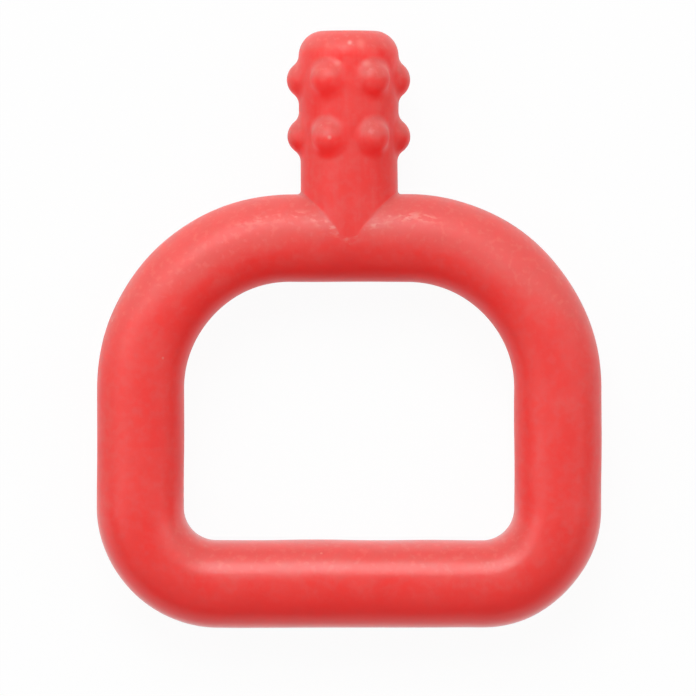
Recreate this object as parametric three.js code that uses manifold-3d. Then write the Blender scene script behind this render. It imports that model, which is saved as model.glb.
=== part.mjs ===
// A hand-held chew toy in one colour of soft elastomer: a closed grip loop, a round chew stem that stands
// on the loop, and two rows of chewing nubs round the stem.
// Millimetres. The toy lies on its back: X across the loop, Y along the stem to its tip, Z out of the front.

import * as THREE from "three";
import { mergeVertices } from "three/addons/utils/BufferGeometryUtils.js";
import Module from "manifold-3d";

// Grip loop
const LOOP_WIDTH = 64.0; // outside, along X
const LOOP_HEIGHT = 54.9; // outside, along Y
const BAR_WIDTH = 11.0; // of the bar, in the plane of the loop
const SHOULDER_RADIUS = 13.6; // inside the two corners beside the stem
const HEEL_RADIUS = 4.1; // inside the two corners at the other end

// Chew stem
const BARREL_DIAMETER = 12.6; // where the stem carries the nubs
const NECK_DIAMETER = 12.2; // between the nubs and the loop
const NECK_EASE = 2.5; // above and below the lower row, over which the neck swells into the barrel
const STEM_LENGTH = 20.8; // from the outside of the loop to the tip
const TIP_EDGE_RADIUS = 3.2; // rounds the edge of the flat tip

// Nubs
const NUB_HEIGHT = 1.5; // crown above the stem
const NUB_DOME_RADIUS = 2.3; // of the ball that forms the crown
const NUB_FILLET_RADIUS = 1.7; // round the foot
const NUB_RIM = 0.1; // thickness of a nub's edge
const TIP_TO_UPPER_ROW = 6.3;
const ROW_PITCH = 7.2;
const NUB_PLACES = ["front_right", "right", "back_right", "back_left", "left", "front_left"];

// The bar is as deep as the neck is thick, so the two meet in a V on the front and on the back.
const BAR_DEPTH = NECK_DIAMETER;
const SEAM = 0.3; // gap between the stem and the loop, and between a nub and the stem

// Facets
const CORNER_STEPS = 12;
const BAR_SIDES = 24;
const STEM_SIDES = 48;
const NECK_EASE_STEPS = 6;
const TIP_EDGE_STEPS = 8;
const NUB_UNDERSIDE_STEPS = 3;
const NUB_FILLET_STEPS = 2;
const NUB_DOME_STEPS = 4;
const NUB_SIDES = 16;

// Places on the stem's axis, counted from the middle of the bar that carries the stem
const TIP_Y = BAR_WIDTH / 2 + STEM_LENGTH;
const UPPER_ROW_Y = TIP_Y - TIP_TO_UPPER_ROW;
const LOWER_ROW_Y = UPPER_ROW_Y - ROW_PITCH;
const NUB_ROWS = { upper: UPPER_ROW_Y, lower: LOWER_ROW_Y };

const wasm = await Module();
wasm.setup();

// A closed geometry as a solid that can be cut.
function solidOf(geometry) {
  geometry.deleteAttribute("normal");
  geometry.deleteAttribute("uv");
  const merged = mergeVertices(geometry);
  const vertProperties = merged.getAttribute("position").array;
  const triVerts = new Uint32Array(merged.getIndex().array);
  return new wasm.Manifold(new wasm.Mesh({ numProp: 3, vertProperties, triVerts }));
}

// A cut solid as a geometry again.
function geometryOf(solid) {
  const { vertProperties, triVerts } = solid.getMesh();
  const geometry = new THREE.BufferGeometry();
  geometry.setAttribute("position", new THREE.BufferAttribute(vertProperties, 3));
  geometry.setIndex(new THREE.BufferAttribute(triVerts, 1));
  geometry.computeVertexNormals();
  return geometry;
}

// Satin red elastomer, moulded in its own colour.
function elastomer() {
  return new THREE.MeshStandardMaterial({ color: 0xea534e, roughness: 0.45, metalness: 0 });
}

function piece(name, geometry) {
  const mesh = new THREE.Mesh(geometry, elastomer());
  mesh.name = name;
  return mesh;
}

// Middle of the bar at stations round the loop, each with the direction that points out of the loop.
// The four corners are arcs, and the straight runs are what lies between them.
function loopStations() {
  const halfWidth = (LOOP_WIDTH - BAR_WIDTH) / 2;
  const heelY = BAR_WIDTH - LOOP_HEIGHT;
  const shoulder = SHOULDER_RADIUS + BAR_WIDTH / 2;
  const heel = HEEL_RADIUS + BAR_WIDTH / 2;
  const corners = [
    { x: halfWidth - shoulder, y: -shoulder, radius: shoulder },
    { x: shoulder - halfWidth, y: -shoulder, radius: shoulder },
    { x: heel - halfWidth, y: heelY + heel, radius: heel },
    { x: halfWidth - heel, y: heelY + heel, radius: heel },
  ];
  const quarterTurn = Math.PI / 2;
  return corners.flatMap(({ x, y, radius }, corner) =>
    Array.from({ length: CORNER_STEPS + 1 }, (_, step) => {
      const turn = quarterTurn * (corner + step / CORNER_STEPS);
      const out = new THREE.Vector2(Math.cos(turn), Math.sin(turn));
      return { middle: new THREE.Vector2(x, y).addScaledVector(out, radius), out };
    }),
  );
}

// The bar's oval section carried round the loop and closed on itself, grown by a clearance on every side.
function loopGeometry(clearance = 0) {
  const stations = loopStations();
  const halfWidth = BAR_WIDTH / 2 + clearance;
  const halfDepth = BAR_DEPTH / 2 + clearance;
  const positions = [];
  const faces = [];
  stations.forEach(({ middle, out }, station) => {
    const nextRing = ((station + 1) % stations.length) * BAR_SIDES;
    const ring = station * BAR_SIDES;
    for (let side = 0; side < BAR_SIDES; side++) {
      const turn = (2 * Math.PI * side) / BAR_SIDES;
      const point = middle.clone().addScaledVector(out, halfWidth * Math.cos(turn));
      positions.push(point.x, point.y, halfDepth * Math.sin(turn));
      const nextSide = (side + 1) % BAR_SIDES;
      faces.push(ring + side, nextRing + side, nextRing + nextSide);
      faces.push(ring + side, nextRing + nextSide, ring + nextSide);
    }
  });
  const geometry = new THREE.BufferGeometry();
  geometry.setAttribute("position", new THREE.Float32BufferAttribute(positions, 3));
  geometry.setIndex(faces);
  geometry.computeVertexNormals();
  return geometry;
}

// Radius of the bare stem at a place on its axis: the neck's, swelling past the lower row into the barrel's.
function stemRadius(y) {
  const swell = THREE.MathUtils.smoothstep(y, LOWER_ROW_Y - NECK_EASE, LOWER_ROW_Y + NECK_EASE);
  return THREE.MathUtils.lerp(NECK_DIAMETER, BARREL_DIAMETER, swell) / 2;
}

// Points of an arc, evenly spaced.
function arc(x, y, radius, from, to, steps) {
  return new THREE.EllipseCurve(x, y, radius, radius, from, to, to < from).getPoints(steps);
}

// A round bar with a flat tip, coped at its foot to sit on the loop like a branch on a pipe.
function stemGeometry() {
  const ease = Array.from({ length: NECK_EASE_STEPS + 1 }, (_, step) => {
    const y = LOWER_ROW_Y + NECK_EASE * ((2 * step) / NECK_EASE_STEPS - 1);
    return new THREE.Vector2(stemRadius(y), y);
  });
  const edgeY = TIP_Y - TIP_EDGE_RADIUS;
  const flatRadius = BARREL_DIAMETER / 2 - TIP_EDGE_RADIUS;
  const edge = arc(flatRadius, edgeY, TIP_EDGE_RADIUS, 0, Math.PI / 2, TIP_EDGE_STEPS);
  const onAxis = (y) => new THREE.Vector2(0, y);
  const profile = [onAxis(0), new THREE.Vector2(NECK_DIAMETER / 2, 0), ...ease, ...edge, onAxis(TIP_Y)];
  const blank = new THREE.LatheGeometry(profile, STEM_SIDES);
  return geometryOf(solidOf(blank).subtract(solidOf(loopGeometry(SEAM))));
}

// A nub as it would stand on a flat, turned round its own axis: a dome, and a fillet that leaves it in the
// dome's own slope and ends in a thin rim above the stem.
function flatNub() {
  const betweenCentres = NUB_DOME_RADIUS + NUB_FILLET_RADIUS;
  const slope = Math.asin(1 - NUB_HEIGHT / betweenCentres);
  const footRadius = betweenCentres * Math.cos(slope);
  const rimTurn = Math.PI + Math.asin(1 - (SEAM + NUB_RIM) / NUB_FILLET_RADIUS);
  const rimRadius = footRadius + NUB_FILLET_RADIUS * Math.cos(rimTurn);
  const underside = Array.from(
    { length: NUB_UNDERSIDE_STEPS + 1 },
    (_, step) => new THREE.Vector2((rimRadius * step) / NUB_UNDERSIDE_STEPS, SEAM),
  );
  const filletY = NUB_FILLET_RADIUS;
  const filletEnd = Math.PI + slope;
  const fillet = arc(footRadius, filletY, NUB_FILLET_RADIUS, rimTurn, filletEnd, NUB_FILLET_STEPS);
  const domeY = NUB_HEIGHT - NUB_DOME_RADIUS;
  const dome = arc(0, domeY, NUB_DOME_RADIUS, slope, Math.PI / 2, NUB_DOME_STEPS).slice(1, -1);
  const crown = new THREE.Vector2(0, NUB_HEIGHT);
  return new THREE.LatheGeometry([...underside, ...fillet, ...dome, crown], NUB_SIDES);
}

// The nub wrapped round the stem: its x runs round the stem, its y out of it and its z along it.
function nubGeometry(angle, rowY) {
  const geometry = flatNub();
  const position = geometry.getAttribute("position");
  for (let i = 0; i < position.count; i++) {
    const y = rowY - position.getZ(i);
    const bare = stemRadius(y);
    const turn = angle + position.getX(i) / bare;
    const reach = bare + position.getY(i);
    position.setXYZ(i, reach * Math.sin(turn), y, reach * Math.cos(turn));
  }
  geometry.computeVertexNormals();
  return geometry;
}

const toy = new THREE.Group();
toy.add(piece("grip_loop", loopGeometry()));
toy.add(piece("chew_stem", stemGeometry()));
Object.entries(NUB_ROWS).forEach(([row, y]) => {
  NUB_PLACES.forEach((place, placeNumber) => {
    const angle = (2 * Math.PI * (placeNumber + 0.5)) / NUB_PLACES.length;
    toy.add(piece(`${row}_nub_${place}`, nubGeometry(angle, y)));
  });
});

// The origin is under the middle of the toy, on the surface that it lies on.
const bounds = new THREE.Box3().setFromObject(toy);
const middle = bounds.getCenter(new THREE.Vector3());
toy.position.set(-middle.x, -middle.y, -bounds.min.z);

const chewToy = new THREE.Group();
chewToy.add(toy);

export default chewToy;
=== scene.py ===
"""Looks of a hand-held chew toy, built round its CAD frame.

The toy is one soft red moulding: a closed grip loop, and a round chew stem on it with two rows of nubs.
It lies on its back, so X runs across the loop, Y along the stem to its tip and Z out of the front.
"""

from typing import NamedTuple

import bpy
import numpy as np
from bpy.props import FloatProperty, FloatVectorProperty, IntProperty, PointerProperty
from bpy.types import NodeSocket, Operator, Panel, PropertyGroup
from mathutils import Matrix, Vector


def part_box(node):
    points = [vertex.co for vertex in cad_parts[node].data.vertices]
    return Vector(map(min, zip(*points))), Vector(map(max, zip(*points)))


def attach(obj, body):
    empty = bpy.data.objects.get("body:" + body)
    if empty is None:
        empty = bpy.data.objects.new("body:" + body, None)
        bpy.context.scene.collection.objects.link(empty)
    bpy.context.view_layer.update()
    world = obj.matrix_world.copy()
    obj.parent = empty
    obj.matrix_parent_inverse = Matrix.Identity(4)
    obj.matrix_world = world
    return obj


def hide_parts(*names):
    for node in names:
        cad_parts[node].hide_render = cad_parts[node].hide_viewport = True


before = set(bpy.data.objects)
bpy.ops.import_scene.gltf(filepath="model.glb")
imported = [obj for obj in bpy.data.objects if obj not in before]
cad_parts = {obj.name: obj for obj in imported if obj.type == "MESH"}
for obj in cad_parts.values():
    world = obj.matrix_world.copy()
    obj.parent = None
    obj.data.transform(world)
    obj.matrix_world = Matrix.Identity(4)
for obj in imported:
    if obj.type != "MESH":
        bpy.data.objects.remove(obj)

bl_info = {
    "name": "Chew Toy",
    "version": (1, 0, 0),
    "blender": (4, 5, 0),
    "location": "View3D > Sidebar > Chew Toy",
    "description": "Builds the moulded skin, the finish and the studio stage of a chew toy",
    "category": "Object",
}

MM = 0.001
QUARTER = np.pi / 2
BODY = "root"

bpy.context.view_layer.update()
LOOP_LOW, LOOP_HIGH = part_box("grip_loop")
_, STEM_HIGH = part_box("chew_stem")
UPPER_LOW, UPPER_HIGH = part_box("upper_nub_right")
LOWER_LOW, LOWER_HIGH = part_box("lower_nub_right")
MID_Z = (LOOP_LOW.z + LOOP_HIGH.z) / 2
UPPER_ROW_Y = (UPPER_LOW.y + UPPER_HIGH.y) / 2
LOWER_ROW_Y = (LOWER_LOW.y + LOWER_HIGH.y) / 2
# Fourth part of the flow on the bare stem. On a nub it is up to 1 more, and on the loop it is at most 1.
ON_STEM = 2.0

# Share of the key's power, and place in metres.
SOFTBOXES = {
    "key_softbox": (1.0, (-0.27, 1.28, 1.56)),
    "left_softbox": (0.33, (-1.51, 0.41, 1.31)),
    "right_softbox": (0.18, (1.51, 0.41, 1.31)),
}
SOFTBOX_SIDE = 1.2

# Painted glints and highlights on the front of the stem: x, y and radius in millimetres, and strength.
PAINTED_GLINT_SPOTS = (
    (0.06, 36.2, 0.45, 1.0),
    (1.45, 36.1, 0.9, 0.3),
    (-2.5, 24.2, 0.4, 0.9),
    (2.15, 33.6, 0.8, 0.35),
    (-1.5, 33.6, 0.7, 0.35),
)


def length(name, description, millimetres):
    """A length property, in metres inside Blender, with its default given in millimetres."""
    return FloatProperty(
        name=name,
        description=description,
        default=millimetres * MM,
        precision=5,
        unit="LENGTH",
    )


def colour(name, description, red, green, blue):
    """A colour property in linear light."""
    return FloatVectorProperty(
        name=name,
        description=description,
        default=(red, green, blue),
        min=0.0,
        max=1.0,
        subtype="COLOR",
    )


def share(name, description, default):
    """A plain share from 0 to 1."""
    return FloatProperty(
        name=name,
        description=description,
        default=default,
        min=0.0,
        max=1.0,
        subtype="FACTOR",
    )


def count(name, description, default):
    """A whole number of steps or copies."""
    return IntProperty(name=name, description=description, default=default, min=3)


class GripLoopSizes(PropertyGroup):
    """Sizes of the loop that the fingers hold."""

    bar_width: length("Bar width", "Width of the bar in the plane of the loop", 11.0)
    bar_depth: length("Bar depth", "Depth of the bar from front to back", 12.04)
    squareness: FloatProperty(
        name="Squareness",
        description="Power of the bar's section: 2 is an ellipse, and more is squarer",
        default=2.2,
        min=2.0,
    )
    shoulder_radius: length("Shoulder radius", "Inside radius of the corners beside the stem", 13.6)
    heel_radius: length("Heel radius", "Inside radius of the corners at the other end", 4.1)
    heel_ease: length("Heel ease", "How far the outside of those corners lies inside a circle", 0.12)
    foot_stations: count("Foot stations", "Steps along the bar on each side of the stem", 24)
    stations: count("Stations", "Steps along the rest of the bar", 340)


class ChewStemSizes(PropertyGroup):
    """Sizes of the stem and of its nubs."""

    barrel: length("Barrel", "Diameter of the stem where it carries the nubs", 12.6)
    neck: length("Neck", "Diameter of the stem below the nubs", 12.2)
    neck_ease: length("Neck ease", "Length over which the barrel eases into the neck", 1.0)
    tip_edge: length("Tip edge", "Radius of the edge round the flat tip", 3.17)
    lean: length("Lean", "How far the upper half of the stem has sagged to one side", -0.1)
    run_out: length("Run-out", "Softness with which the neck's front runs out on the bar's crown", 0.02)
    foot_fillet: length("Foot fillet", "Radius in the crease between stem and loop", 0.5)
    nub_crown: length("Nub crown", "Distance of a nub's crown from the stem's axis", 7.79)
    nub_dome: length("Nub dome", "Radius of the ball that forms a nub's crown", 2.4)
    nub_fillet: length("Nub fillet", "Radius round a nub's foot", 1.7)
    row_rise: length("Row rise", "How much nearer to the tip the nubs sit than the CAD's nubs", 0.1)
    lower_drop: length("Lower drop", "How much lower the front and back nubs of the lower row sit", 0.3)
    nub_turn: FloatProperty(
        name="Nub turn",
        description="Angle by which the rows of nubs are turned round the stem",
        default=0.038,
        unit="ROTATION",
    )
    nub_lean: FloatProperty(
        name="Nub lean",
        description="Angle by which nubs half way between front and side lean towards the mould's draw",
        default=0.22,
        unit="ROTATION",
    )
    nubs_per_row: count("Nubs in a row", "Nubs round the stem in each row", 6)
    columns: count("Columns", "Steps in a quarter turn of the stem and of the bar", 44)
    nub_rows: count("Nub rows", "Steps along the stem past the nubs", 92)
    neck_rows: count("Neck rows", "Steps along the neck", 30)


class MouldMarksAndPaintedLight(PropertyGroup):
    """Traces that the mould leaves on the skin, and where the painted glints and the painted sheen lie."""

    parting_height: length("Parting line", "Height of the line where the halves of the mould meet", 0.05)
    parting_width: length("Parting width", "Half width of that line", 0.14)
    ripple: length("Ripple", "Height of the slow unevenness of the skin", 0.05)
    ripple_pitch: length("Ripple pitch", "Distance between the crests of that unevenness", 12.0)
    # Fleck settings place painted glints: pale marks along the key light's highlight on the top bar.
    fleck_rise: share("Fleck rise", "Place of the flecks between the top bar's middle and outside", 0.45)
    fleck_band: share("Fleck band", "Half width of their line, as a share of half the bar's", 0.11)
    fleck_start: length("Fleck start", "Distance from the stem's axis up to which their line climbs", 5.0)
    fleck_reach: length("Fleck reach", "Distance from the stem's axis at which flecks are thickest", 6.0)
    fleck_spread: length("Fleck spread", "Distance over which the flecks thin out", 7.0)
    # Painted sheen settings: faces towards the key light, more of the top bar and the nubs' crowns are
    # painted paler.
    painted_sheen_shift: share("Haze shift", "How much further down the haze reaches on the top bar", 0.45)
    painted_sheen_height: length("Haze height", "Height on the toy at which that shift is half", 4.0)
    painted_sheen_fade: length("Haze fade", "Distance over which that shift fades", 2.0)
    painted_sheen_gap: length("Haze gap", "Distance from the stem's axis within which that shift is less", 9.0)
    painted_sheen_point: length("Haze point", "Distance from the stem's axis within which that shift is gone", 2.0)
    nub_painted_sheen: share("Nub haze", "How much further down the haze reaches on a nub's crown", 0.2)


class ElastomerFinish(PropertyGroup):
    """Colours and gloss of the moulded elastomer, and the colours of its painted sheen and painted glints.
    """

    red: colour("Red", "Pigment of the elastomer", 0.98, 0.0432, 0.0389)
    bloom: colour("Bloom", "Paler patches where the surface has bloomed", 0.90, 0.153, 0.138)
    # Painted sheen: paler colour painted on faces towards the key light.
    painted_sheen: colour("Painted_sheen", "Dull haze on what faces the tip", 0.68, 0.153, 0.138)
    # Pale colour for real specks and for painted glints and highlights.
    dust_and_glint: colour("Dust_and_glint", "Dust and scuffs that catch the light", 0.87, 0.33, 0.29)
    roughness: share("Roughness", "Mean roughness of the satin surface", 0.5)
    polish: share("Polish", "How much less rough the bottom bar is, where the palm lies", 0.19)
    subsurface: share("Subsurface", "Share of the light that goes through the skin", 1.0)
    depth: length("Depth", "How far red light travels under the skin", 28.0)


class StageSettings(PropertyGroup):
    """Floor, light and camera."""

    floor: colour("Floor", "Colour of the floor", 0.85, 0.85, 0.85)
    key: FloatProperty(name="Key", description="Power of the soft key light", default=27.2, unit="POWER")
    world: share("World", "Strength of the even light from all round", 0.33)
    frame_width: length("Frame", "Width of the picture at the toy's middle", 88.4)
    aim_x: length("Aim X", "Camera's place across the loop", -0.16)
    aim_y: length("Aim Y", "Camera's place along the stem", -2.41)
    lens: FloatProperty(name="Lens", description="Focal length of the camera", default=500.0, unit="CAMERA")


def crowded_steps(start, stop, steps):
    """Angles from start to stop that crowd together half way between them.

    Their density is one plus a bell curve at the middle, and they stand at equal shares of its running sum.
    """
    crowding, bell, samples = 5.0, 0.08, 4000
    fine = np.linspace(start, stop, samples + 1)
    density = 1 + crowding * np.exp(-(((fine - (start + stop) / 2) / bell) ** 2))
    total = np.append(0, np.cumsum((density[1:] + density[:-1]) / 2))
    return np.interp(np.linspace(0, total[-1], steps + 1), total, fine)


def bar_axis_y(loop):
    """Height of the top bar's axis on the toy."""
    return LOOP_HIGH.y - loop.bar_width / 2


def bar_section(loop, angle):
    """Points of the bar's section as their outward part and their depth, at angles round it.

    Each is half the bar's size times the cosine or sine, drawn out to a power that makes an oval squarer.
    """
    across = np.stack((np.cos(angle), np.sin(angle)))
    half = np.array((loop.bar_width, loop.bar_depth)) / 2
    return half[:, None] * np.sign(across) * np.abs(across) ** (2 / loop.squareness)


def bar_lean(loop, angle):
    """Normal of the bar's section as its outward part and its depth, at angles round it."""
    across = np.stack((np.cos(angle), np.sin(angle)))
    half = np.array((loop.bar_width, loop.bar_depth)) / 2
    lean = np.sign(across) * np.abs(across) ** (2 - 2 / loop.squareness) / half[:, None]
    return lean / np.linalg.norm(lean, axis=0)


def ball_depth(loop, stem, turn):
    """Depth of a ball that rolls round the stem's foot: the neck's, softly limited by the bar's.

    The way left to the bar's crown is replaced by the mean of itself and of the root of its square plus the
    run-out's square. That mean is smooth and never below zero, so the crown is never passed.
    """
    crown = loop.bar_depth / 2 + stem.foot_fillet
    short = crown - (stem.neck / 2 + stem.foot_fillet) * np.abs(np.cos(turn))
    return crown - (short + np.hypot(short, stem.run_out)) / 2


def crease_angle(loop, stem, turn):
    """Angle on the bar's section where the ball that rolls round the stem's foot touches the bar.

    The ball is as deep as the touched point plus its radius along the section's normal there. That depth
    grows with the angle, so halving an interval finds it.
    """
    depth = ball_depth(loop, stem, turn)
    low, high = np.zeros_like(turn), np.full_like(turn, QUARTER)
    halvings = 50
    for _ in range(halvings):
        middle = (low + high) / 2
        short = bar_section(loop, middle)[1] + stem.foot_fillet * bar_lean(loop, middle)[1] < depth
        low, high = np.where(short, middle, low), np.where(short, high, middle)
    return (low + high) / 2


def bar_path(loop):
    """Centreline of the bar once round, from the middle of the top bar to the left, with its directions.

    Straights and quarter circles take turns. On a straight a point is the run's start plus the distance
    gone along the heading. On a quarter circle it is the start plus the radius times the change of the
    outward direction, whose angle grows with the distance gone over the radius.
    """
    half_bar = loop.bar_width / 2
    half_width = (LOOP_HIGH.x - LOOP_LOW.x) / 2 - half_bar
    height = LOOP_HIGH.y - LOOP_LOW.y - loop.bar_width
    shoulder, heel = loop.shoulder_radius + half_bar, loop.heel_radius + half_bar
    foot, side, base = half_width - shoulder, height - shoulder - heel, 2 * (half_width - heel)
    radii = np.array((0, shoulder, 0, heel, 0, heel, 0, shoulder, 0))
    lengths = np.array((foot, 0, side, 0, base, 0, side, 0, foot)) + QUARTER * radii
    bends = np.divide(1, radii, out=np.zeros_like(radii), where=radii > 0)
    angles = QUARTER * np.array((1, 1, 2, 2, 3, 3, 4, 4, 5))
    ends = np.cumsum(lengths)

    def out(angle):
        return np.stack((np.cos(angle), np.sin(angle)), axis=-1)

    def ahead(angle):
        return out(angle + QUARTER)

    def gone_by(run, gone):
        turned = angles[run] + gone * bends[run]
        curved = radii[run, None] * (out(turned) - out(angles[run]))
        return np.where(bends[run, None] > 0, curved, gone[:, None] * ahead(turned)), turned

    runs = np.arange(len(radii))
    steps, _ = gone_by(runs, lengths)
    corners = np.array((0, bar_axis_y(loop))) + np.cumsum(steps, axis=0) - steps
    along = np.concatenate((
        np.linspace(0, foot, loop.foot_stations, endpoint=False),
        np.linspace(foot, ends[-1] - foot, loop.stations, endpoint=False),
        np.linspace(ends[-1] - foot, ends[-1], loop.foot_stations + 1),
    ))
    run = np.searchsorted(ends[:-1], along, side="right")
    step, turned = gone_by(run, along - (ends - lengths)[run])
    from_foot = np.clip(1 - along / foot, 0, 1) - np.clip(1 - (ends[-1] - along) / foot, 0, 1)
    return corners[run] + step, turned, out(turned), ahead(turned), from_foot, along / ends[-1]


def loop_grid(loop, stem, half_turn):
    """Points of the loop on a grid of stations by rows, open where the stem stands on it, and their flow.

    The bar's section is carried along the centreline. The rows of its upper half, counted from the front
    over the outside to the back, are those at which the columns of the stem end on the bar. On the two
    halves of the top bar these rows are pushed away from the middle, up to the stem's foot. The rows of the
    lower half close the section. Outside the heels the bar is a little thinner than elsewhere.
    """
    middle, heading, out, ahead, from_foot, along = bar_path(loop)
    reach = crease_angle(loop, stem, half_turn) * np.sign(np.cos(half_turn))
    under = crowded_steps(reach[-1], reach[0] - 2 * np.pi, len(half_turn) - 1)[1:-1]
    angle = np.concatenate((reach, under))
    foot = (stem.neck / 2 + stem.foot_fillet) * np.sin(half_turn)
    foot_x = np.concatenate((foot, np.zeros_like(under)))
    ease = loop.heel_ease * np.sin(2 * heading) ** 2 * (np.sin(heading) < 0)
    outward, deep = bar_section(loop, angle)
    across = outward - ease[:, None] * np.cos(angle) * (1 + np.cos(angle)) / 2
    flat = middle[:, None] + out[:, None] * across[..., None]
    flat = flat + ahead[:, None] * (from_foot[:, None] * foot_x)[..., None]
    depth = np.broadcast_to(deep, flat.shape[:2])
    points = np.concatenate((flat, MID_Z + depth[..., None]), axis=-1)
    ring = 2 * np.pi * np.broadcast_to(along[:, None], depth.shape)
    flow = np.stack((np.cos(ring), np.sin(ring), np.broadcast_to(np.sin(angle), depth.shape)), axis=-1)
    return points, flow, np.broadcast_to(np.cos(angle), depth.shape)


def nub_foot(stem):
    """A nub's height on the barrel, and the radius at which its fillet runs out into the barrel."""
    height = stem.nub_crown - stem.barrel / 2
    between_centres = stem.nub_dome + stem.nub_fillet
    return height, np.sqrt(height * (2 * between_centres - height))


def nub_field(stem, turn, y):
    """Share of a nub's height at points of the barrel, by their distance from the nearest nub's middle.

    Near the middle it is the height less the sag of the dome's circle at that distance. Further out it is
    the sag of the fillet's circle, counted from the foot. The circles touch where the distances to the
    middle and to the foot are as their radii. The nubs are evenly spaced round the stem. Those of the lower
    row drop with the squared cosine of the turn.
    """
    height, foot = nub_foot(stem)
    pitch = 2 * np.pi / stem.nubs_per_row
    sideways = ((turn - stem.nub_turn) % pitch - pitch / 2) * stem.barrel / 2
    upper_y = np.full_like(turn, UPPER_ROW_Y + stem.row_rise)
    lower_y = LOWER_ROW_Y + stem.row_rise - stem.lower_drop * np.cos(turn) ** 2
    rows = np.stack((upper_y, lower_y))[:, None]
    away = np.minimum(np.hypot(sideways, y - rows).min(axis=0), foot)
    touch = foot * stem.nub_dome / (stem.nub_dome + stem.nub_fillet)
    dome = height - stem.nub_dome + np.sqrt(stem.nub_dome**2 - np.minimum(away, touch) ** 2)
    fillet = stem.nub_fillet - np.sqrt(stem.nub_fillet**2 - (foot - np.maximum(away, touch)) ** 2)
    return np.where(away < touch, dome, fillet) / height


def barrel_radius(stem, y):
    """Radius of the bare stem: the barrel's, easing below the lower nubs into the neck's on an S curve."""
    above = 1 / (1 + np.exp((LOWER_ROW_Y - y) / stem.neck_ease))
    return (stem.neck + (stem.barrel - stem.neck) * above) / 2


def foot_rows(loop, stem, turn):
    """Rows of the fillet round the stem's foot: the inner side of a ball rolled along the crease.

    The ball's centre is one ball's radius off the neck and one off the bar. The row swings about it from
    the point that touches the neck to the point that touches the bar. At the front and the back, where the
    crease runs out, the rows are spread up the neck by a high power of the turn's cosine.
    """
    fillet_rows, spread_power = 8, 8
    angle = crease_angle(loop, stem, turn)
    outward, deep = bar_lean(loop, angle)
    level = np.zeros_like(turn)
    from_neck = np.stack((np.sin(turn), level, np.cos(turn)), axis=-1)
    from_bar = np.stack((level, outward, deep * np.sign(np.cos(turn))), axis=-1)
    centre = from_neck * (stem.neck / 2 + stem.foot_fillet)
    centre[:, 1] = bar_axis_y(loop) + bar_section(loop, angle)[0] + stem.foot_fillet * outward
    centre[:, 2] = ball_depth(loop, stem, turn) * np.sign(np.cos(turn))
    swing = np.linspace(0, 1, fillet_rows)[:, None, None]
    towards = (1 - swing) * from_neck + swing * from_bar
    rows = centre - stem.foot_fillet * towards / np.linalg.norm(towards, axis=-1, keepdims=True)
    rows[..., 1] += (1 - swing[..., 0]) * stem.foot_fillet * np.cos(turn) ** spread_power
    return rows


def stem_grid(loop, stem, turn):
    """Points of the stem on a grid of rows by columns, from its flat tip to its foot, and their flow.

    The rows are rings of the tip's disc, a quarter circle over its edge, rings past the nubs, rows that
    lean more and more towards the crease and sink to the fillet's depth, and the fillet. Past the nubs a
    point is the bare stem's, moved out towards the nubs' crowns by the nubs' share, in a direction that
    leans from the radius towards the mould's draw.
    """
    foot = foot_rows(loop, stem, turn)
    edge_y = STEM_HIGH.y - stem.tip_edge
    flat_radius = barrel_radius(stem, edge_y) - stem.tip_edge
    disc_rows, edge_rows = 6, 14
    swing = np.linspace(0, QUARTER, edge_rows)
    tip_radius = np.concatenate((flat_radius * np.arange(1, disc_rows) / disc_rows,
                                 flat_radius + stem.tip_edge * np.sin(swing)))
    tip_y = np.concatenate((np.full(disc_rows - 1, STEM_HIGH.y), edge_y + stem.tip_edge * np.cos(swing)))
    nubs_end_y = LOWER_ROW_Y - nub_foot(stem)[1]
    nubs_y = np.linspace(edge_y, nubs_end_y, stem.nub_rows)[1:]
    ring_y = np.concatenate((tip_y, nubs_y))[:, None] + np.zeros_like(turn)
    drop = np.linspace(0, 1, stem.neck_rows)[1:-1, None]
    neck_y = nubs_end_y + drop * (foot[0, :, 1] - nubs_end_y)
    y = np.concatenate((ring_y, neck_y))
    bare = barrel_radius(stem, y)
    bare[: len(tip_radius)] = tip_radius[:, None]
    nub = nub_field(stem, turn, y) * (bare > flat_radius)
    rise = (stem.nub_crown - bare) * nub
    rise_turn = turn - stem.nub_lean * np.sin(2 * turn)
    shaft = np.stack((bare * np.sin(turn) + rise * np.sin(rise_turn), y,
                      bare * np.cos(turn) + rise * np.cos(rise_turn)), axis=-1)
    shaft[len(ring_y):, :, 2] += drop * (foot[0, :, 2] - stem.neck / 2 * np.cos(turn))
    above_loop = np.clip((shaft[..., 1] - LOOP_HIGH.y) / (UPPER_ROW_Y - LOOP_HIGH.y), 0, 1)
    shaft[..., 0] += stem.lean * above_loop
    points = np.concatenate((shaft, foot))
    swirl = np.broadcast_to(turn, points.shape[:2])
    flow = np.stack((points[..., 1] / STEM_HIGH.y, np.sin(swirl), np.cos(swirl)), axis=-1)
    points[..., 2] += MID_Z
    return points, flow, ON_STEM + np.concatenate((nub, np.zeros(foot.shape[:2])))


def quads(index, closed):
    """Quads between neighbours of a grid of vertex numbers, closed round its columns if asked."""
    index = np.concatenate((index, index[:, :1]), axis=1) if closed else index
    corners = (index[:-1, :-1], index[1:, :-1], index[1:, 1:], index[:-1, 1:])
    return np.stack(corners, axis=-1).reshape(-1, 4)


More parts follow.
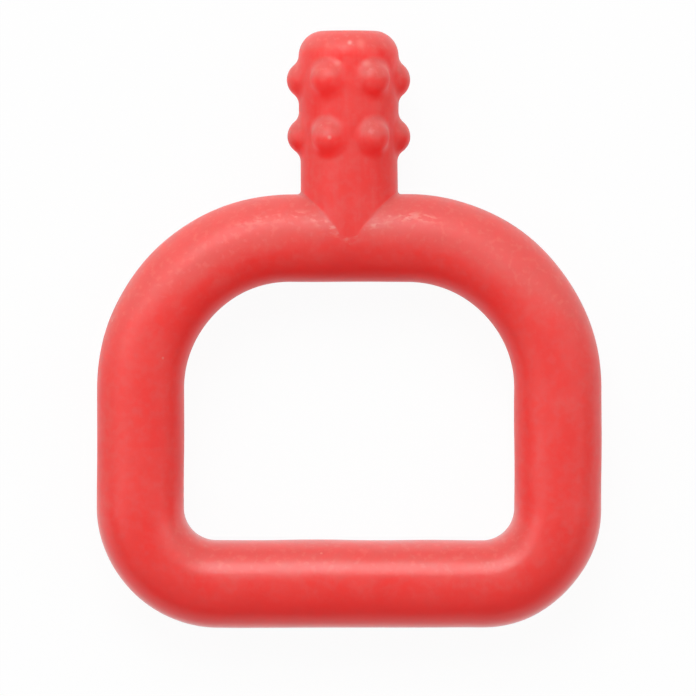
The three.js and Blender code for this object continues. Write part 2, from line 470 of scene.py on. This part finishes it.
def moulding_surface(loop, stem):
    """Points, faces and flow of the whole skin as one closed surface.

    The last row of the stem lies on the loop's grid: its right half is where the loop's last station ends,
    and its left half, taken backwards, is where the first station begins. There the loop's faces use the
    stem's vertices. Under the stem the loop's last station is its first one.
    """
    half_turn = crowded_steps(0, np.pi, 2 * stem.columns)
    turn = np.concatenate((half_turn, 2 * np.pi - half_turn[-2:0:-1]))
    stem_points, stem_flow, stem_w = stem_grid(loop, stem, turn)
    loop_points, loop_flow, loop_w = loop_grid(loop, stem, half_turn)
    rows, columns = stem_points.shape[:2]
    stem_index = np.arange(rows * columns).reshape(rows, columns)
    tip = rows * columns
    loop_index = tip + 1 + np.arange(loop_points[..., 0].size).reshape(-1, columns)
    upper = len(half_turn)
    loop_index[-1, upper:] = loop_index[0, upper:]
    loop_index[-1, :upper] = stem_index[-1, :upper]
    loop_index[0, :upper] = stem_index[-1, -np.arange(upper)]
    tip_point = np.array((stem.lean, STEM_HIGH.y, MID_Z))
    points = np.concatenate((stem_points.reshape(-1, 3), tip_point[None], loop_points.reshape(-1, 3)))
    flow = np.concatenate((stem_flow.reshape(-1, 3), np.array(((1, 0, 0),)), loop_flow.reshape(-1, 3)))
    flow_w = np.concatenate((stem_w.reshape(-1), (ON_STEM,), loop_w.reshape(-1)))
    around = np.roll(stem_index[0], -1)
    fan = np.stack((stem_index[0], around, np.full(columns, tip)), axis=-1)
    squares = np.concatenate((quads(stem_index, True), quads(loop_index, True)[:, ::-1]))
    used = np.union1d(squares, fan)
    place = np.zeros(len(points), int)
    place[used] = np.arange(len(used))
    return points[used], [place[squares], place[fan]], flow[used], flow_w[used]


def slow_ripple(points, pitch):
    """Unevenness of about -1 to 1: a sum of plane waves, one pitch long, in drawn directions and phases."""
    waves, seed = 10, 7
    draw = np.random.default_rng(seed)
    way = draw.normal(size=(3, waves))
    way *= 2 * np.pi / pitch / np.linalg.norm(way, axis=0)
    start = draw.uniform(0, 2 * np.pi, waves)
    return np.sin(points @ way + start).sum(axis=-1) / np.sqrt(2 * waves)


def parting_line(marks, points):
    """Height of the line where the halves of the mould meet: a bell curve across the middle plane."""
    return marks.parting_height * np.exp(-(((points[:, 2] - MID_Z) / marks.parting_width) ** 2))


def painted_glint_share(marks, points, rise):
    """Share of painted glints at each point: a line of them on the front of the top bar, along the key
    light's highlight.

    The line is a bell curve of the rise from the bar's middle towards its outside, times one of the
    distance from the stem's axis. Beside the stem the line climbs from the bar's middle.
    """
    away = np.abs(points[:, 0])
    line = marks.fleck_rise * np.minimum(away / marks.fleck_start, 1)
    band = np.exp(-(((rise - line) / marks.fleck_band) ** 2))
    reach = np.exp(-(((away - marks.fleck_reach) / marks.fleck_spread) ** 2))
    return band * reach * (points[:, 2] > MID_Z) * (points[:, 1] > 0)


def facing_for_painted_light(marks, points, normals, rise):
    """How far each point faces the tip, and so the key light beyond it, for painted light: its normal's
    part along the stem, and a shift.

    On the loop the shift is an S curve of the height on the toy, less a wide and a narrow bell curve of the
    distance from the stem's axis, each of half its size, so that more of the top bar gets the painted
    sheen. On the stem it goes with the nubs' share, so that the nubs' crowns get more of it as a painted
    highlight.
    """
    top = 1 / (1 + np.exp((marks.painted_sheen_height - points[:, 1]) / marks.painted_sheen_fade))
    across = points[:, :1] / np.array((marks.painted_sheen_gap, marks.painted_sheen_point))
    beside = 1 - np.exp(-(across**2)).sum(axis=1) / 2
    on_loop, on_stem = marks.painted_sheen_shift * top * beside, marks.nub_painted_sheen * (rise - ON_STEM)
    return normals[:, 1] + np.where(rise < ON_STEM, on_loop, on_stem)


def put(layer, key, values):
    """Writes a whole array into a mesh layer."""
    layer.foreach_set(key, np.ascontiguousarray(values, np.float32).reshape(-1))


def moulded_mesh(name, loop, stem, marks):
    """Smooth mesh of the skin, moved along its normals by the mould's marks, with what its finish reads."""
    points, faces, flow, flow_w = moulding_surface(loop, stem)
    mesh = bpy.data.meshes.new(name)
    mesh.from_pydata(points.tolist(), [], [face for block in faces for face in block.tolist()])
    mesh.polygons.foreach_set("use_smooth", np.ones(len(mesh.polygons), bool))
    mesh.update()
    normals = np.empty(points.size, np.float32)
    mesh.vertex_normals.foreach_get("vector", normals)
    normals = normals.reshape(-1, 3)
    lift = marks.ripple * slow_ripple(points, marks.ripple_pitch) + parting_line(marks, points)
    put(mesh.vertices, "co", points + lift[:, None] * normals)
    put(mesh.attributes.new("flow", "FLOAT_VECTOR", "POINT").data, "vector", flow)
    put(mesh.attributes.new("flow_w", "FLOAT", "POINT").data, "value", flow_w)
    # Painted glints along the key light's highlight on the top bar.
    put(mesh.attributes.new("painted_glint_flecks", "FLOAT", "POINT").data, "value", painted_glint_share(marks, points, flow_w))
    # How far each point faces the key light, which places the painted sheen and the painted shade of the
    # bloom.
    facing = facing_for_painted_light(marks, points, normals, flow_w)
    put(mesh.attributes.new("tipward", "FLOAT", "POINT").data, "value", facing)
    mesh.update()
    return mesh


class NoiseLayer(NamedTuple):
    """A noise and the share that it gives: none below the range from low to high, and the most above it."""

    scale: float
    detail: float
    low: float
    high: float
    most: float


# The bloom on the pigment
STREAKS = NoiseLayer(scale=3.0, detail=4.0, low=0.35, high=0.7, most=0.14)
PATCHES = NoiseLayer(scale=150.0, detail=4.0, low=0.35, high=0.68, most=0.2)
BLOTCHES = NoiseLayer(scale=900.0, detail=3.0, low=0.4, high=0.7, most=0.18)
STREAK_STRETCH = (2.2, 2.2, 1.6)

# Painted glints: pale dashes that come in clumps along the key light's highlight on the top bar
DASHES = NoiseLayer(scale=1.0, detail=3.0, low=0.45, high=0.6, most=0.9)
CLUMPS = NoiseLayer(scale=420.0, detail=2.0, low=0.37, high=0.53, most=1.0)
# Specks kept to faces towards the key light below: partly real specks, partly painted glints.
DUST_AND_GLINT_SPECKS = NoiseLayer(scale=1300.0, detail=2.0, low=0.52, high=0.68, most=0.14)
DASH_STRETCH = (800.0, 1700.0, 1700.0)

# How far a point faces the tip where bloom, painted sheen and dusty specks begin, and where they are full.
# Bloom fading on faces turned away from the key light is painted shade; the sheen is painted light.
BLOOM_PAINTED_SHADE_FACING = (-0.6, 0.0)
PAINTED_SHEEN_FACING = (-0.05, 0.5)
DUST_AND_GLINT_FACING = (0.0, 0.5)
PAINTED_SHEEN_MOST = 0.62


class FinishNodes:
    """Shorthand for the nodes of a finish."""

    def __init__(self, tree):
        self.tree = tree
        tree.nodes.clear()
        self.place = self.node("ShaderNodeTexCoord").outputs["Object"]

    def node(self, kind, **settings):
        """A new node with its settings."""
        made = self.tree.nodes.new(kind)
        for key, value in settings.items():
            setattr(made, key, value)
        return made

    def set(self, socket, value):
        """Links a socket to another one, or gives it a plain value."""
        if isinstance(value, NodeSocket):
            self.tree.links.new(value, socket)
        else:
            socket.default_value = value

    def attribute(self, name, output):
        """One of the mesh's own attributes."""
        return self.node("ShaderNodeAttribute", attribute_name=name).outputs[output]

    def along(self, axis):
        """Object coordinate along one axis."""
        made = self.node("ShaderNodeSeparateXYZ")
        self.set(made.inputs["Vector"], self.place)
        return made.outputs[axis]

    def stretched(self, scale, vector=None):
        """Object coordinates, or another vector, times a scale for each axis."""
        made = self.node("ShaderNodeVectorMath", operation="MULTIPLY")
        self.set(made.inputs[0], vector or self.place)
        self.set(made.inputs[1], scale)
        return made.outputs["Vector"]

    def noise(self, scale, detail, vector=None, fourth=None):
        """Noise on Object coordinates or another vector, which may have a fourth part."""
        made = self.node("ShaderNodeTexNoise", noise_dimensions="4D" if fourth else "3D")
        self.set(made.inputs["Vector"], vector or self.place)
        self.set(made.inputs["Scale"], scale)
        self.set(made.inputs["Detail"], detail)
        if fourth:
            self.set(made.inputs["W"], fourth)
        return made.outputs["Fac"]

    def spread(self, value, low, high, to_low=0.0, to_high=1.0):
        """Smooth step of a value from one range to another."""
        made = self.node("ShaderNodeMapRange", interpolation_type="SMOOTHSTEP")
        for socket, given in zip(made.inputs, (value, low, high, to_low, to_high)):
            self.set(socket, given)
        return made.outputs["Result"]

    def layer(self, layer, vector=None, fourth=None):
        """Share that a noise layer gives."""
        noise = self.noise(layer.scale, layer.detail, vector, fourth)
        return self.spread(noise, layer.low, layer.high, 0.0, layer.most)

    def math(self, operation, first, second):
        """Two values worked into one."""
        made = self.node("ShaderNodeMath", operation=operation)
        self.set(made.inputs[0], first)
        self.set(made.inputs[1], second)
        return made.outputs["Value"]

    def blend(self, factor, first, second):
        """Two colours mixed by the share of the second."""
        made = self.node("ShaderNodeMix", data_type="RGBA")
        self.set(made.inputs["Factor"], factor)
        for socket, value in zip([s for s in made.inputs if s.type == "RGBA"], (first, second)):
            self.set(socket, value if isinstance(value, NodeSocket) else (*value, 1.0))
        return next(s for s in made.outputs if s.type == "RGBA")


def bloomed_pigment_with_painted_light(nodes, finish):
    """Red pigment that has bloomed in soft streaks along the mould's flow, in patches and in fine blotches.

    The bloom fades where the skin faces away from the tip, a painted shade that keeps the faces turned away
    from the key light deeper red. Where it faces the tip, a painted sheen lies over it: a paler colour
    painted where the key light falls.
    """
    flow = nodes.stretched(STREAK_STRETCH, nodes.attribute("flow", "Vector"))
    tipward = nodes.attribute("tipward", "Fac")
    bloom = nodes.layer(STREAKS, flow, nodes.attribute("flow_w", "Fac"))
    bloom = nodes.math("ADD", bloom, nodes.layer(PATCHES))
    bloom = nodes.math("ADD", bloom, nodes.layer(BLOTCHES))
    # Painted shade: the bloom fades on faces turned away from the key light.
    bloom = nodes.math("MULTIPLY", bloom, nodes.spread(tipward, *BLOOM_PAINTED_SHADE_FACING))
    pigment = nodes.blend(bloom, finish.red, finish.bloom)
    # Painted sheen: paler colour over faces towards the key light.
    return nodes.blend(nodes.spread(tipward, *PAINTED_SHEEN_FACING, 0.0, PAINTED_SHEEN_MOST), pigment, finish.painted_sheen)


def specks(nodes):
    """Sparse round specks: dots in the middle of a few cells, picked by the colour drawn for each cell."""
    cell_scale, most = 300.0, 0.6
    dot_inside, dot_outside = 0.03, 0.07
    picked_from, picked_to = 0.88, 0.96
    cells = nodes.node("ShaderNodeTexVoronoi", feature="F1")
    nodes.set(cells.inputs["Vector"], nodes.place)
    nodes.set(cells.inputs["Scale"], cell_scale)
    drawn = nodes.node("ShaderNodeSeparateColor")
    nodes.set(drawn.inputs["Color"], cells.outputs["Color"])
    dot = nodes.spread(cells.outputs["Distance"], dot_inside, dot_outside, 1.0, 0.0)
    picked = nodes.spread(drawn.outputs["Red"], picked_from, picked_to, 0.0, most)
    return nodes.math("MULTIPLY", dot, picked)


def painted_glint_spots(nodes):
    """Painted glints and highlights on the stem's front, each fading out with the distance from its middle.
    """
    flat = nodes.stretched((1.0, 1.0, 0.0))
    spots = 0.0
    for x, y, radius, strength in PAINTED_GLINT_SPOTS:
        away = nodes.node("ShaderNodeVectorMath", operation="DISTANCE")
        nodes.set(away.inputs[0], flat)
        nodes.set(away.inputs[1], (x * MM, y * MM, 0.0))
        spot = nodes.spread(away.outputs["Value"], 0.0, radius * MM, strength, 0.0)
        spots = nodes.math("MAXIMUM", spots, spot)
    return nodes.math("MULTIPLY", spots, nodes.spread(nodes.along("Z"), MID_Z, MID_Z + MM))


def dust_and_glint_share(nodes):
    """Share of the pale colour: painted glints, dusty specks partly painted as glints, specks and painted
    glint spots.
    """
    painted_glint_flecks = nodes.layer(DASHES, nodes.stretched(DASH_STRETCH))
    painted_glint_flecks = nodes.math("MULTIPLY", painted_glint_flecks, nodes.attribute("painted_glint_flecks", "Fac"))
    painted_glint_flecks = nodes.math("MULTIPLY", painted_glint_flecks, nodes.layer(CLUMPS))
    # Specks only on faces towards the key light: partly real, partly painted glints.
    facing_key_share = nodes.spread(nodes.attribute("tipward", "Fac"), *DUST_AND_GLINT_FACING)
    dust_and_glints = nodes.math("MULTIPLY", nodes.layer(DUST_AND_GLINT_SPECKS), facing_key_share)
    shares = nodes.math("MAXIMUM", nodes.math("MAXIMUM", painted_glint_flecks, dust_and_glints), specks(nodes))
    return nodes.math("MAXIMUM", shares, painted_glint_spots(nodes))


def worn_gloss(nodes, finish):
    """Roughness of the satin surface, which swings about its mean and is less where the palm lies."""
    scale, detail, low, high, swing = 160.0, 4.0, 0.3, 0.7, 0.02
    palm_end, palm_start = -26.0 * MM, -18.0 * MM
    least, most = finish.roughness - swing, finish.roughness + swing
    gloss = nodes.spread(nodes.noise(scale, detail), low, high, least, most)
    polish = nodes.spread(nodes.along("Y"), palm_end, palm_start, finish.polish, 0.0)
    return nodes.math("SUBTRACT", gloss, polish)


def grain(nodes):
    """Normal of the fine grain that the mould's sand-blasted wall leaves."""
    scale, detail, strength, height = 1500.0, 3.0, 0.08, 0.2 * MM
    bump = nodes.node("ShaderNodeBump")
    nodes.set(bump.inputs["Strength"], strength)
    nodes.set(bump.inputs["Distance"], height)
    nodes.set(bump.inputs["Height"], nodes.noise(scale, detail))
    return bump.outputs["Normal"]


def elastomer(finish):
    """Satin red elastomer: bloomed pigment with painted shade and sheen under specks and painted glints, a
    worn gloss and a fine grain.

    Red light goes far under the skin. Green and blue light go only a small share of that way.
    """
    material = bpy.data.materials.new("satin_red_elastomer")
    material.use_nodes = True
    nodes = FinishNodes(material.node_tree)
    pigment = bloomed_pigment_with_painted_light(nodes, finish)
    sockets = {
        # The base colour carries painted shade, painted sheen and painted glints.
        "Base Color": nodes.blend(dust_and_glint_share(nodes), pigment, finish.dust_and_glint),
        "Roughness": worn_gloss(nodes, finish),
        "Normal": grain(nodes),
        "Subsurface Weight": finish.subsurface,
        "Subsurface Radius": (1.0, 0.027, 0.0215),
        "Subsurface Scale": finish.depth,
        "IOR": 1.45,
        "Specular IOR Level": 0.4,
        "Coat Weight": 0.14,
        "Coat Roughness": 0.3,
    }
    shader = nodes.node("ShaderNodeBsdfPrincipled")
    for name, value in sockets.items():
        nodes.set(shader.inputs[name], value)
    output = nodes.node("ShaderNodeOutputMaterial")
    nodes.set(output.inputs["Surface"], shader.outputs["BSDF"])
    return material


class CHEWTOY_OT_moulding(Operator):
    """Builds the moulded skin of the grip loop, the chew stem and its nubs"""

    bl_idname = "chew_toy.moulding"
    bl_label = "Moulding"
    bl_options = {"REGISTER", "UNDO"}

    def execute(self, context):
        scene = context.scene
        mesh = moulded_mesh("moulded_skin", scene.chew_loop, scene.chew_stem, scene.chew_marks)
        mesh.materials.append(elastomer(scene.chew_finish))
        skin = bpy.data.objects.new("moulded_skin", mesh)
        scene.collection.objects.link(skin)
        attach(skin, BODY)
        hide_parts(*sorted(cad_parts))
        return {"FINISHED"}


class CHEWTOY_OT_stage(Operator):
    """Sets the floor, the studio light and the camera"""

    bl_idname = "chew_toy.stage"
    bl_label = "Stage"
    bl_options = {"REGISTER", "UNDO"}

    def execute(self, context):
        scene = context.scene
        settings = scene.chew_stage
        lay_floor(scene, settings)
        set_light(scene, settings)
        set_camera(scene, settings)
        scene.view_settings.view_transform = "Standard"
        return {"FINISHED"}


def lay_floor(scene, settings):
    """A square of white paper under the toy, seen mostly white and shadowed a little."""
    half, seen_white = 3.0, 0.95
    corners = ((-half, -half, 0), (half, -half, 0), (half, half, 0), (-half, half, 0))
    mesh = bpy.data.meshes.new("studio_floor")
    mesh.from_pydata(corners, [], [(0, 1, 2, 3)])
    paper = bpy.data.materials.new("white_paper")
    paper.use_nodes = True
    nodes = FinishNodes(paper.node_tree)
    matt = nodes.node("ShaderNodeBsdfDiffuse")
    nodes.set(matt.inputs["Color"], (*settings.floor, 1.0))
    glow = nodes.node("ShaderNodeEmission")
    path = nodes.node("ShaderNodeLightPath").outputs
    seen = nodes.math("ADD", path["Is Camera Ray"], path["Is Glossy Ray"])
    seen = nodes.math("ADD", seen, path["Is Transmission Ray"])
    mix = nodes.node("ShaderNodeMixShader")
    nodes.set(mix.inputs[0], nodes.math("MULTIPLY", nodes.math("MINIMUM", seen, 1.0), seen_white))
    nodes.set(mix.inputs[1], matt.outputs["BSDF"])
    nodes.set(mix.inputs[2], glow.outputs["Emission"])
    nodes.set(nodes.node("ShaderNodeOutputMaterial").inputs["Surface"], mix.outputs["Shader"])
    mesh.materials.append(paper)
    floor = bpy.data.objects.new("studio_floor", mesh)
    scene.collection.objects.link(floor)


def set_light(scene, settings):
    """A soft key beyond the stem's tip, a weaker softbox on each side, and even light from all round."""
    world = bpy.data.worlds.new("studio")
    world.use_nodes = True
    background = world.node_tree.nodes["Background"]
    background.inputs["Color"].default_value = (1.0, 1.0, 1.0, 1.0)
    background.inputs["Strength"].default_value = settings.world
    scene.world = world
    for name, (power, place) in SOFTBOXES.items():
        lamp = bpy.data.lights.new(name, "AREA")
        lamp.shape = "RECTANGLE"
        lamp.size = SOFTBOX_SIDE
        lamp.size_y = SOFTBOX_SIDE
        lamp.energy = power * settings.key
        softbox = bpy.data.objects.new(name, lamp)
        softbox.location = place
        softbox.rotation_mode = "QUATERNION"
        softbox.rotation_quaternion = (-Vector(place)).to_track_quat("-Z", "Y")
        scene.collection.objects.link(softbox)


def set_camera(scene, settings):
    """A long lens straight above the toy, with the stem's tip up in the picture."""
    camera_data = bpy.data.cameras.new("camera")
    camera_data.lens = settings.lens
    camera = bpy.data.objects.new("camera", camera_data)
    away = settings.frame_width * camera_data.lens / camera_data.sensor_width
    camera.location = (settings.aim_x, settings.aim_y, MID_Z + away)
    scene.collection.objects.link(camera)
    scene.camera = camera


class CHEWTOY_PT_panel(Panel):
    """Lists the toy's builders with their sizes and finishes"""

    bl_idname = "CHEWTOY_PT_panel"
    bl_label = "Chew Toy"
    bl_space_type = "VIEW_3D"
    bl_region_type = "UI"
    bl_category = "Chew Toy"

    def draw(self, context):
        for operator, groups in SECTIONS.items():
            box = self.layout.box()
            box.operator(operator)
            for group in groups:
                settings = getattr(context.scene, group)
                for key in GROUPS[group].__annotations__:
                    box.prop(settings, key)


GROUPS = {
    "chew_loop": GripLoopSizes,
    "chew_stem": ChewStemSizes,
    "chew_marks": MouldMarksAndPaintedLight,
    "chew_finish": ElastomerFinish,
    "chew_stage": StageSettings,
}
SECTIONS = {
    "chew_toy.moulding": ("chew_loop", "chew_stem", "chew_marks", "chew_finish"),
    "chew_toy.stage": ("chew_stage",),
}
CLASSES = (*GROUPS.values(), CHEWTOY_OT_moulding, CHEWTOY_OT_stage, CHEWTOY_PT_panel)


def register():
    for cls in CLASSES:
        bpy.utils.register_class(cls)
    for name, group in GROUPS.items():
        setattr(bpy.types.Scene, name, PointerProperty(type=group))


def unregister():
    for name in GROUPS:
        delattr(bpy.types.Scene, name)
    for cls in reversed(CLASSES):
        bpy.utils.unregister_class(cls)


def main():
    register()
    bpy.ops.chew_toy.moulding()
    bpy.ops.chew_toy.stage()


if __name__ == "__main__":
    main()
